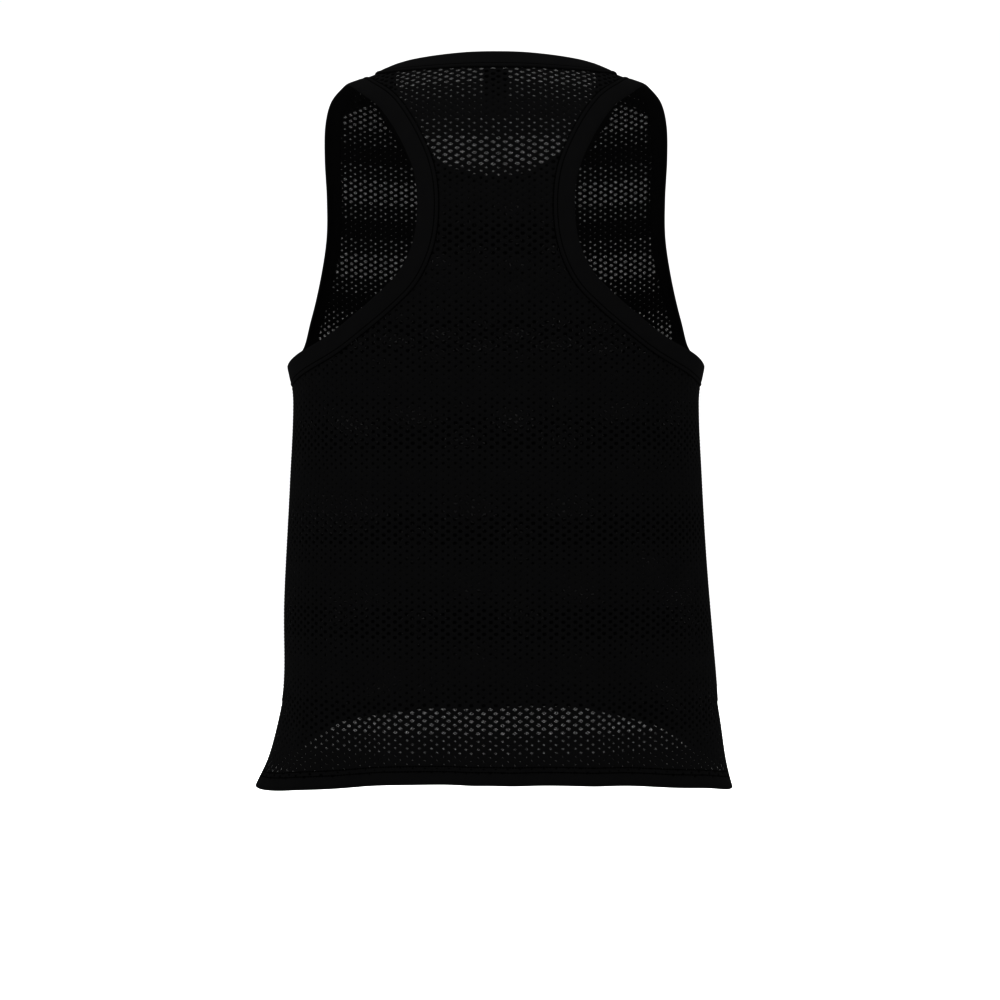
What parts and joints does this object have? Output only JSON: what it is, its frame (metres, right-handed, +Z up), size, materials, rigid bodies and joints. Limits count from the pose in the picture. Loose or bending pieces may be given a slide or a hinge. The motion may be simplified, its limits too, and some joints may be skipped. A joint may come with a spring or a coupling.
{
  "type": "racerback running vest",
  "caption": "Sleeveless running vest in open mesh knit, hollow and filled out as worn, with a narrow racer back, folded bands round armholes and neck, and slit hem sides.",
  "frame": {"origin": "midway between the undersides of the shoulder straps, in the plane of the side seams, where the wearer's shoulders carry the vest", "axes": "+Z up, +Y out of the back, +X towards the wearer's left, so the front faces -Y"},
  "size_m": [0.4662, 0.2534, 0.7117],
  "materials": {
    "mesh_knit": "dull black polyester eyelet mesh, its holes graded in level bands",
    "band_knit": "dull black folded plain knit",
    "label_tape": "plain black woven tape with a slight sheen"
  },
  "bodies": {
    "root": {"back_panel": "mesh_knit", "front_panel": "mesh_knit", "armhole_band_left": "band_knit", "armhole_band_right": "band_knit", "neck_band": "band_knit", "neck_label": "label_tape"}
  },
  "joints": []
}
